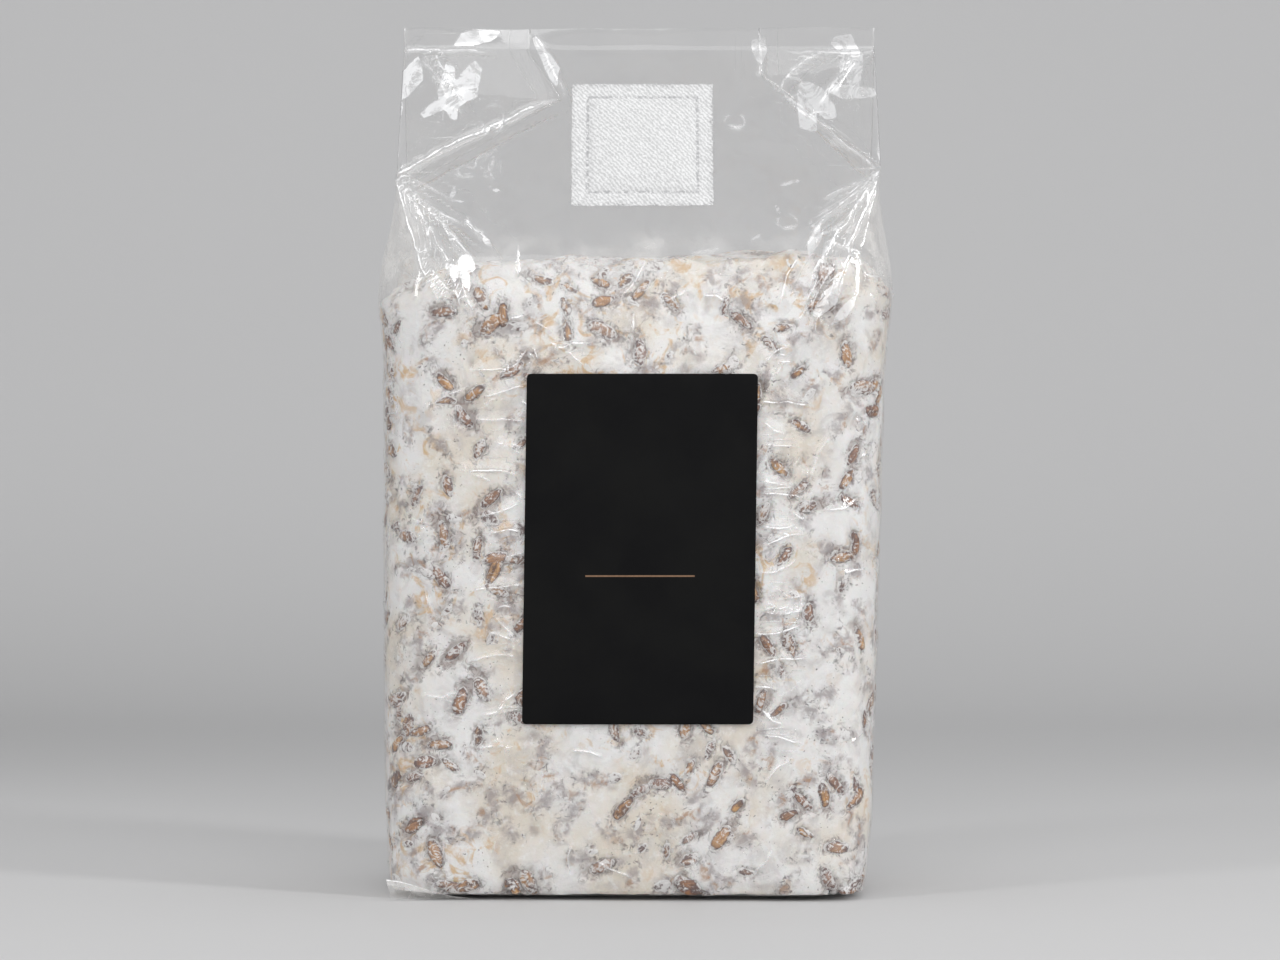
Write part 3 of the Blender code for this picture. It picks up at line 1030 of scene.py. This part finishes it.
def fibre_points(first):
    """Loose fibres that stand out of the patch's edges and lie on its border."""
    rng = np.random.default_rng(SEED + 7)
    points, faces = [], []
    for _ in range(620):
        side, place = rng.integers(4), rng.uniform(-0.5, 0.5) * PATCH_SIDE
        edge = PATCH_SIDE / 2 - abs(rng.normal(0, 0.9)) * MM
        start = np.array([(edge, place), (-edge, place), (place, edge), (place, -edge)][side])
        outward = np.array([(1, 0), (-1, 0), (0, 1), (0, -1)][side], float)
        turn = rng.normal(0, 0.9)
        way = outward * math.cos(turn) + outward[::-1] * math.sin(turn)
        bend = rng.normal(0, 0.35)
        length, thick = rng.uniform(0.6, 1.9) * MM, rng.uniform(0.025, 0.05) * MM
        high = rng.uniform(0.3, 0.6) * MM
        base = first + len(points)
        for step in range(4):
            cross = np.array([-way[1], way[0]]) * thick * (1 - 0.25 * step)
            lift = high + 0.1 * MM * step * rng.uniform(-0.5, 1)
            for offset, rise in ((-cross, 0), (cross, 0), (cross * 0, 1.6 * thick)):
                points.append((*(start + offset), lift + rise))
            start = start + way * length / 3
            way = way + bend * np.array([-way[1], way[0]])
            way /= np.linalg.norm(way)
        for step in range(3):
            low = base + 3 * step
            for k in range(3):
                faces.append((low + k, low + (k + 1) % 3, low + 3 + (k + 1) % 3, low + 3 + k))
    return np.array(points), faces


def label_outline():
    """The label's rounded rectangle, counter-clockwise, about its own middle."""
    right, top = LABEL_WIDTH / 2 - LABEL_CORNER, LABEL_HEIGHT / 2 - LABEL_CORNER
    points = []
    corners = (((right, -top), -90), ((right, top), 0), ((-right, top), 90), ((-right, -top), 180))
    for middle, start in corners:
        for turn in np.radians(np.linspace(start, start + 90, 7)):
            x, z = LABEL_CORNER * math.cos(turn), LABEL_CORNER * math.sin(turn)
            points.append((middle[0] + x, middle[1] + z))
    return points


def build_label(face_finish, edge_finish):
    """A thin sheet in rings from its middle to its rim, laid on the bag's front, with a cut edge."""
    tree = solid_tree("label")
    rim = []
    corners = label_outline()
    for (ax, az), (bx, bz) in zip(corners, corners[1:] + corners[:1]):
        pieces = max(1, round(math.hypot(bx - ax, bz - az) / (3 * MM)))
        rim += [(lerp(ax, bx, i / pieces), lerp(az, bz, i / pieces)) for i in range(pieces)]
    rim = np.array(rim)
    rings = np.concatenate([np.linspace(0.03, 0.96, 20), [0.99, 1.0]])

    def on_front(x, z):
        inside, widest = 0.985, 0.49 * LABEL_WIDTH
        x = min(max(x + LABEL_ASIDE, -widest), widest)
        hit = tree.ray_cast(Vector((x, -0.2, LABEL_MIDDLE + z * inside)), Vector((0, 1, 0)))[0]
        return hit.y - 0.1 * MM

    points = []
    for ring in rings:
        for x, z in rim * ring:
            sag = 0.25 * MM * noise(np.array([[x, z, 0]]), 30 * MM, 61)[0]
            lift = 0.08 * MM * (1 - ring**30)
            points.append((x + LABEL_ASIDE, on_front(x, z) + sag - lift, LABEL_MIDDLE + z))
    count = len(rim)
    for x, z in rim:
        points.append((x + LABEL_ASIDE, on_front(x, z) + LABEL_THICKNESS, LABEL_MIDDLE + z))
    points = settle(np.array(points))
    faces = grid_faces(len(rings) + 1, count, True)
    faces = [tuple(reversed(face)) for face in faces]
    faces.append(tuple(range(count)))
    label = mesh_object("label_sheet", points, faces, face_finish)
    label.data.materials.append(edge_finish)
    edge_start = (len(rings) - 1) * count
    for polygon in label.data.polygons:
        on_edge = len(polygon.vertices) == 4 and min(polygon.vertices) >= edge_start
        polygon.material_index = 1 if on_edge else 0
    return label


# ---------------------------------------------------------------- materials


class Finish:
    """A material being built: each method adds nodes and returns the last one's output socket."""

    def __init__(self, name):
        self.material = bpy.data.materials.new(name)
        self.material.use_nodes = True
        self.tree = self.material.node_tree
        self.tree.nodes.clear()
        self.place = self.node("ShaderNodeTexCoord").outputs["Object"]

    def put(self, socket, value):
        """Links a socket as the value, or sets a plain value."""
        if isinstance(value, bpy.types.NodeSocket):
            self.tree.links.new(value, socket)
        else:
            socket.default_value = value

    def node(self, kind, inputs=None, **settings):
        made = self.tree.nodes.new(kind)
        for name, value in settings.items():
            setattr(made, name, value)
        for name, value in (inputs or {}).items():
            self.put(made.inputs[name], value)
        return made

    def noise(self, size, detail=3.0, roughness=0.55, distortion=0.0, shift=0.0):
        """Noise from 0 to 1 with bumps about size metres across."""
        scale = 3 * (1 / (2 * size),)
        inputs = {"Vector": self.place, "Scale": scale, "Location": (shift, 2 * shift, 3 * shift)}
        moved = self.node("ShaderNodeMapping", inputs).outputs[0]
        inputs = {"Vector": moved, "Scale": 1.0, "Detail": detail, "Roughness": roughness}
        inputs["Distortion"] = distortion
        return self.node("ShaderNodeTexNoise", inputs).outputs["Fac"]

    def attribute(self, name):
        return self.node("ShaderNodeAttribute", attribute_name=name).outputs["Fac"]

    def axes(self):
        """The x, y and z of the piece's own space."""
        return self.node("ShaderNodeSeparateXYZ", {"Vector": self.place}).outputs

    def math(self, operation, a, b=0.0):
        made = self.node("ShaderNodeMath", operation=operation)
        for socket, value in zip(made.inputs, (a, b)):
            self.put(socket, value)
        return made.outputs[0]

    def times(self, first, *others):
        for other in others:
            first = self.math("MULTIPLY", first, other)
        return first

    def apart(self, a, b):
        """How far apart two values are."""
        return self.math("ABSOLUTE", self.math("SUBTRACT", a, b))

    def step(self, value, start, end, low=0.0, high=1.0):
        """low at start and high at end, easing in and out."""
        inputs = {"Value": value, "From Min": start, "From Max": end, "To Min": low, "To Max": high}
        return self.node("ShaderNodeMapRange", inputs, interpolation_type="SMOOTHSTEP").outputs[0]

    def mix(self, share, a, b):
        """Share of colour b in colour a, each a socket or three numbers."""
        made = self.node("ShaderNodeMix", data_type="RGBA", clamp_factor=True)
        for index, value in ((0, share), (6, a), (7, b)):
            self.put(made.inputs[index], (*value, 1.0) if isinstance(value, tuple) else value)
        return made.outputs[2]

    def tint(self, colour, share, strength, other):
        """The colour with another one over it, share times strength."""
        return self.mix(self.times(share, strength), colour, other)

    def bump(self, height, distance, strength=1.0, normal=None):
        inputs = {"Height": height, "Distance": distance, "Strength": strength}
        if normal is not None:
            inputs["Normal"] = normal
        return self.node("ShaderNodeBump", inputs).outputs[0]

    def principled(self, **inputs):
        named = {name.replace("_", " "): value for name, value in inputs.items()}
        return self.node("ShaderNodeBsdfPrincipled", named).outputs[0]

    def glossy(self, roughness, normal):
        inputs = {"Color": (1, 1, 1, 1), "Roughness": roughness, "Normal": normal}
        return self.node("ShaderNodeBsdfGlossy", inputs).outputs[0]

    def layered(self, share, under, over):
        return self.node("ShaderNodeMixShader", {0: share, 1: under, 2: over}).outputs[0]

    def finish(self, surface):
        self.node("ShaderNodeOutputMaterial", {"Surface": surface})
        return self.material


WHITE_MYCELIUM = (0.80, 0.79, 0.778)
CREAM_MYCELIUM = (0.71, 0.635, 0.525)
GREY_PURPLE = (0.28, 0.235, 0.24)
TAN = (0.62, 0.41, 0.20)


def mycelium_finish():
    """White and cream cotton, clouded, with the colours of the grain showing through, and painted shade in
    its hollows and round its grains.
    """
    f = Finish("mycelium")
    cream = f.step(f.noise(17 * MM, 3, shift=3), 0.44, 0.66, 0.0, 0.75)
    colour = f.mix(cream, WHITE_MYCELIUM, CREAM_MYCELIUM)
    cloud = f.step(f.noise(5.5 * MM, 4, 0.6, 0.9, shift=5), 0.46, 0.70)
    colour = f.tint(colour, cloud, 0.5, (0.46, 0.43, 0.425))
    tan = f.step(f.noise(4.0 * MM, 4, 0.6, 1.2, shift=8), 0.52, 0.66)
    patchy = f.step(f.noise(18 * MM, 2, shift=9), 0.44, 0.60)
    colour = f.tint(colour, f.times(tan, patchy), 0.85, TAN)

    grain = f.noise(2.6 * MM, 4, 0.55, 0.6, shift=12)
    streak = f.noise(1.6 * MM, 3, 0.6, 1.8, shift=13)
    veil = f.times(f.attribute("veil"), f.step(grain, 0.40, 0.62))
    colour = f.tint(colour, veil, 0.72, GREY_PURPLE)
    core = f.step(f.noise(3.0 * MM, 4, 0.6, 0.8, shift=14), 0.55, 0.68)
    colour = f.tint(colour, f.times(f.attribute("veil"), core), 0.75, (0.42, 0.24, 0.13))
    # Painted shade: a dark outline in the gap round each veiled grain, broken by streaks.
    rim = f.times(f.attribute("rim"), f.step(streak, 0.52, 0.64))
    colour = f.tint(colour, rim, 0.80, (0.12, 0.10, 0.10))
    # Painted shade: dark mycelium in the hollow round each bare grain, broken by streaks.
    painted_hollow_shade = f.times(f.attribute("painted_hollow_shade"), f.step(streak, 0.46, 0.62))
    colour = f.tint(colour, painted_hollow_shade, 0.80, (0.17, 0.135, 0.13))
    # Partly painted shade in the hollows between lumps and grains, and partly grain seen greyer through
    # thinner mycelium: darker where the surface lies deep under the film.
    deep = f.step(f.attribute("depth"), 0.35, 1.0)
    colour = f.tint(colour, deep, 0.62, (0.31, 0.25, 0.23))

    cotton = f.step(f.noise(1.5 * MM, 6, 0.7, shift=15), 0.50, 0.68)
    colour = f.tint(colour, cotton, 0.5, (0.88, 0.88, 0.88))
    cluster = f.step(f.noise(9 * MM, 2, shift=20), 0.44, 0.60)
    speck = f.step(f.noise(0.55 * MM, 2, shift=22), 0.66, 0.73)
    colour = f.tint(colour, f.times(speck, cluster), 0.85, (0.10, 0.08, 0.075))

    fluff = f.bump(f.noise(0.7 * MM, 5, 0.7), 0.30 * MM, 0.7)
    fluff = f.bump(f.noise(2.4 * MM, 4, 0.6, shift=2), 0.8 * MM, 0.6, fluff)
    rough = f.step(grain, 0.3, 0.7, 0.55, 0.8)
    surface = f.principled(
        Base_Color=colour, Roughness=rough, Normal=fluff, Subsurface_Weight=0.12, Subsurface_Scale=0.002
    )
    return f.finish(surface)


def kernel_finish():
    """Wheat-like grain: streaked tan to brown bran, dark at its tips, with mycelium creeping over it.

    Painted shade darkens its crease and the grain just above where it sinks into the mycelium.
    """
    f = Finish("grain")
    names = ("along", "across", "tone", "veil", "above")
    along, across, tone, veil, above = (f.attribute(name) for name in names)
    warm = f.mix(f.step(tone, 0.0, 1.0), (0.50, 0.25, 0.09), (0.21, 0.095, 0.05))
    pale = f.mix(f.step(tone, 0.0, 1.0), (0.70, 0.42, 0.17), (0.43, 0.21, 0.10))
    stretched = [f.times(value, scale) for value, scale in ((along, 2.2), (across, 9), (tone, 40))]
    place = f.node("ShaderNodeCombineXYZ", dict(enumerate(stretched)))
    inputs = {"Vector": place.outputs[0], "Scale": 1.0, "Detail": 4.0, "Roughness": 0.65}
    streaks = f.node("ShaderNodeTexNoise", inputs).outputs["Fac"]
    bran = f.mix(f.step(streaks, 0.40, 0.62), warm, pale)
    dark = f.step(f.noise(2.4 * MM, 3, 0.6, shift=2), 0.52, 0.66)
    bran = f.tint(bran, dark, 0.8, (0.12, 0.065, 0.055))
    # Painted shade: a dark line along the grain's crease.
    bran = f.tint(bran, f.step(f.apart(across, 0.5), 0.09, 0.03), 0.7, (0.09, 0.045, 0.03))
    bran = f.tint(bran, f.step(f.apart(along, 0.5), 0.32, 0.5), 0.75, (0.085, 0.05, 0.045))
    mottle = f.step(f.noise(0.7 * MM, 3, 0.6, 1.5, shift=4), 0.42, 0.6)
    grey = f.mix(mottle, (0.40, 0.33, 0.34), (0.10, 0.07, 0.075))
    colour = f.tint(bran, veil, 0.8, grey)

    threads = f.noise(1.3 * MM, 5, 0.7, 1.0, shift=7)
    edge = f.math("ADD", above, f.times(f.math("SUBTRACT", threads, 0.5), 2.0))
    shown = f.step(edge, 0.02, 0.40)
    # Painted shade: the grain darkens just above where it sinks into the mycelium.
    colour = f.mix(f.step(edge, 0.25, 1.15), (0.13, 0.09, 0.09), colour)
    coat = f.mix(f.step(threads, 0.3, 0.7), (0.66, 0.63, 0.615), (0.80, 0.79, 0.78))
    colour = f.mix(shown, coat, colour)
    wisps = f.noise(1.7 * MM, 4, 0.62, 2.4, shift=9)
    strands = f.step(f.math("ADD", wisps, f.times(veil, 0.16)), 0.53, 0.66, 0.0, 0.85)
    colour = f.mix(strands, colour, (0.78, 0.77, 0.76))
    relief = f.bump(streaks, 0.25 * MM, 0.6)
    rough = f.step(shown, 0, 1, 0.75, 0.36)
    return f.finish(f.principled(Base_Color=colour, Roughness=rough, Normal=relief))


def film_finish():
    """Clear film: what is behind shows through. At its creases and crumpled facets, painted highlights lay a
    rough white mirror over the clear film.
    """
    f = Finish("clear_film")
    names = ("crease", "crease_power", "glare", "glare_power", "mist")
    crease, power, depth, bright, mist = (f.attribute(name) for name in names)
    away = f.math("ABSOLUTE", crease)
    ripple = f.bump(f.noise(3.0 * MM, 3, 0.5, 0.5), 0.35 * MM, 0.25)
    ripple = f.bump(f.noise(14 * MM, 2, 0.4, 0.3, shift=4), 1.6 * MM, 0.25, ripple)
    ripple = f.bump(f.times(f.step(away, 1.1, 0.0), power), 0.5 * MM, 0.8, ripple)
    mirror = f.node("ShaderNodeFresnel", {"IOR": 1.5, "Normal": ripple}).outputs[0]
    mirror = f.math("MINIMUM", f.times(mirror, 1.1), 0.35)
    scuffs = f.step(f.noise(6 * MM, 5, 0.65, 0.8, shift=6), 0.35, 0.75, 0.04, 0.13)
    clear = f.node("ShaderNodeBsdfTransparent", {"Color": (0.99, 0.99, 0.99, 1)}).outputs[0]
    milk = f.node("ShaderNodeBsdfDiffuse", {"Color": (0.92, 0.90, 0.87, 1)}).outputs[0]
    haze = f.step(f.noise(11 * MM, 4, 0.6, shift=10), 0.35, 0.75, 0.006, 0.03)
    fog = f.times(mist, f.step(f.noise(4 * MM, 4, 0.6, 0.6, shift=11), 0.3, 0.7, 0.10, 0.42))
    body = f.layered(f.math("ADD", haze, fog), clear, milk)
    film = f.layered(mirror, body, f.glossy(scuffs, ripple))

    # Painted highlights: thin broken white lines along the creases, a faint glow beside them, and bright
    # facets inside the glint outlines, each a rough white mirror over the film.
    broken = f.step(f.noise(1.5 * MM, 4, 0.7, 1.0, shift=17), 0.38, 0.58, 0.12, 1.0)
    thick = f.step(f.noise(3.5 * MM, 3, 0.6, shift=21), 0.35, 0.65, 0.22, 0.62)
    line = f.times(f.step(f.math("DIVIDE", away, thick), 1.0, 0.25), power, broken)
    glow = f.times(f.step(away, 2.4, 0.2), power, 0.12)
    ragged = f.times(f.math("SUBTRACT", f.noise(2.0 * MM, 4, 0.65, 1.2, shift=18), 0.5), 3.0)
    inside = f.step(f.math("ADD", depth, ragged), 0.0, 1.0)
    streaky = f.step(f.noise(4.5 * MM, 4, 0.6, 2.2, shift=19), 0.34, 0.56, 0.3, 1.0)
    shine = f.math("MAXIMUM", f.math("MAXIMUM", line, glow), f.times(inside, bright, streaky))
    return f.finish(f.layered(shine, film, f.glossy(0.42, ripple)))


def patch_finish():
    """Matt nonwoven cloth with a slanting stipple, and a dashed weld round its membrane."""
    f = Finish("filter_cloth")
    slant = (0, 0, math.radians(-42))
    turned = f.node("ShaderNodeMapping", {"Vector": f.place, "Rotation": slant}).outputs[0]
    inputs = {"Vector": turned, "Scale": 240.0, "Distortion": 5.0, "Detail": 4.0, "Detail Scale": 3.0}
    fine = f.node("ShaderNodeTexWave", inputs).outputs["Fac"]
    cloth = f.math("ADD", f.times(fine, 0.32), f.noise(0.5 * MM, 4, 0.7))
    colour = f.mix(f.step(cloth, 0.40, 0.95), (0.52, 0.52, 0.52), (0.77, 0.77, 0.77))
    x, y, _ = f.axes()
    out = f.math("MAXIMUM", f.math("ABSOLUTE", x), f.math("ABSOLUTE", y))
    dashes = f.step(f.noise(0.8 * MM, 2, shift=3), 0.42, 0.55)
    line = f.times(f.step(f.apart(out, WELD_LINE), 0.75 * MM, 0.3 * MM), dashes)
    colour = f.tint(colour, line, 0.6, (0.33, 0.33, 0.34))
    relief = f.bump(cloth, 0.22 * MM, 0.5)
    surface = f.principled(Base_Color=colour, Roughness=0.9, Normal=relief, Specular_IOR_Level=0.2)
    return f.finish(surface)


def label_finish():
    """Satin black, with a thin copper rule across the lower middle."""
    f = Finish("label_vinyl")
    x, _, z = f.axes()
    rule_height = LABEL_MIDDLE + LABEL_HEIGHT / 2 - 0.577 * LABEL_HEIGHT
    over = f.step(f.apart(z, rule_height), 0.34 * MM, 0.24 * MM)
    beside = f.step(f.apart(x, LABEL_ASIDE - 1 * MM), 19.9 * MM, 19.7 * MM)
    blotch = f.noise(16 * MM, 3, shift=2)
    colour = f.mix(f.step(blotch, 0.3, 0.7), (0.003, 0.003, 0.0035), (0.005, 0.005, 0.005))
    copper = f.mix(f.noise(0.6 * MM, 2), (0.16, 0.095, 0.06), (0.26, 0.16, 0.10))
    colour = f.mix(f.times(over, beside), colour, copper)
    tooth = f.bump(f.noise(0.25 * MM, 3, 0.6), 0.03 * MM, 0.5)
    tooth = f.bump(f.noise(24 * MM, 2, shift=5), 0.5 * MM, 0.3, tooth)
    rough = f.step(f.noise(5 * MM, 4, 0.6, shift=7), 0.3, 0.7, 0.46, 0.56)
    surface = f.principled(Base_Color=colour, Roughness=rough, Normal=tooth, Specular_IOR_Level=0.08)
    return f.finish(surface)


def label_edge_finish():
    f = Finish("label_edge_painted_highlight")
    # Light grey all round: a painted highlight on the label's cut edge.
    colour = f.mix(f.noise(2 * MM, 3), (0.55, 0.55, 0.55), (0.80, 0.80, 0.80))
    return f.finish(f.principled(Base_Color=colour, Roughness=0.6))


def backdrop_finish():
    """Pale grey paper, with painted shade behind the bag: darker over the floor and curve there, darkest to
    the left.
    """
    f = Finish("backdrop_paper")
    colour = f.mix(f.noise(0.35, 3), (0.575, 0.572, 0.572), (0.60, 0.597, 0.597))
    x, y, _ = f.axes()
    # Painted shade: darker on the floor and curve behind the bag, more so to the left.
    painted_shade_band = f.times(f.step(y, 0.05, 0.75), f.step(y, 1.5, 0.8))
    colour = f.tint(colour, f.times(painted_shade_band, f.step(x, 0.6, -0.6, 0.5, 1.0)), 0.44, (0.30, 0.30, 0.30))
    tooth = f.bump(f.noise(1.2 * MM, 3, 0.6), 0.2 * MM, 0.3)
    return f.finish(f.principled(Base_Color=colour, Roughness=0.75, Normal=tooth))


# ---------------------------------------------------------------- studio


def build_backdrop(finish):
    """A seamless sheet: floor, a wide curve and an upright back."""
    floor_front, curve_start, radius, tall, wide = -3.0, 0.9, 0.9, 3.2, 4.0
    line = [(y, 0.0) for y in np.linspace(floor_front, curve_start, 12)]
    turns = np.radians(np.linspace(0, 90, 25))[1:]
    line += [(curve_start + radius * math.sin(t), radius * (1 - math.cos(t))) for t in turns]
    line += [(curve_start + radius, z) for z in np.linspace(radius, tall, 6)[1:]]
    points = [(x, y, z) for y, z in line for x in np.linspace(-wide, wide, 9)]
    return mesh_object("backdrop", np.array(points), grid_faces(len(line), 9, False), finish)


def area_light(name, place, target, size, power):
    data = bpy.data.lights.new(name, "AREA")
    data.shape = "RECTANGLE"
    data.size, data.size_y = size
    data.energy = power
    made = bpy.data.objects.new(name, data)
    made.location = place
    made.rotation_euler = (Vector(target) - Vector(place)).to_track_quat("-Z", "Y").to_euler()
    bpy.context.scene.collection.objects.link(made)


def light_studio():
    middle = (0, 0, 0.16)
    area_light("softbox_left", (-1.25, -0.9, 0.8), middle, (0.22, 0.9), 5.5)
    area_light("softbox_right", (1.25, -0.8, 0.75), middle, (0.2, 0.9), 9.5)
    area_light("front_fill", (0.0, -2.6, 1.3), middle, (3.0, 1.9), 29)
    area_light("overhead", (0.0, 0.1, 2.3), middle, (1.5, 1.2), 9)
    world = bpy.data.worlds.new("studio")
    world.use_nodes = True
    world.node_tree.nodes["Background"].inputs[0].default_value = (0.97, 0.98, 1.0, 1.0)
    world.node_tree.nodes["Background"].inputs[1].default_value = 0.5
    bpy.context.scene.world = world


CAMERA_DISTANCE, CAMERA_HEIGHT, CAMERA_ASIDE = 1.287, 0.153, 2 * MM


def place_camera():
    """A level camera in front of the bag."""
    data = bpy.data.cameras.new("camera")
    data.lens, data.sensor_width = 100.0, 36.0
    data.clip_start, data.clip_end = 0.01, 30.0
    camera = bpy.data.objects.new("camera", data)
    camera.location = (CAMERA_ASIDE, cad_low.y - CAMERA_DISTANCE, CAMERA_HEIGHT)
    camera.rotation_euler = (math.radians(90), 0, 0)
    bpy.context.scene.collection.objects.link(camera)
    bpy.context.scene.camera = camera


# ---------------------------------------------------------------- the scene


def main():
    scene = bpy.context.scene
    scene.view_settings.view_transform = "Standard"
    scene.cycles.transparent_max_bounces = 24
    scene.cycles.glossy_bounces = 8
    place_camera()
    light_studio()
    build_backdrop(backdrop_finish())

    block = block_grid()
    seeds = kernel_seeds(block.reshape(-1, 3), grid_normals(block).reshape(-1, 3))
    mycelium, drop = build_mycelium(block, seeds, mycelium_finish())
    kernels = build_kernels(seeds, block, mycelium, kernel_finish())
    side_drop = drop[BASE_ROWS : BASE_ROWS + len(SIDE_HEIGHTS)]
    straight = body_outlines(SIDE_HEIGHTS, CONTACT_SKIN)
    film = build_film(film_over_grain(straight, side_drop), film_finish())
    patch = build_patch(patch_finish())
    label = build_label(label_finish(), label_edge_finish())

    for piece, node, slot in (
        (mycelium, "grain_block", "colonized_grain"),
        (kernels, "grain_block", "colonized_grain"),
        (film, "bag_film", "clear_film"),
        (patch, "filter_patch", "filter_cloth"),
        (label, "label", "label_vinyl"),
    ):
        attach(piece, "root")
        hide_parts(node)


main()
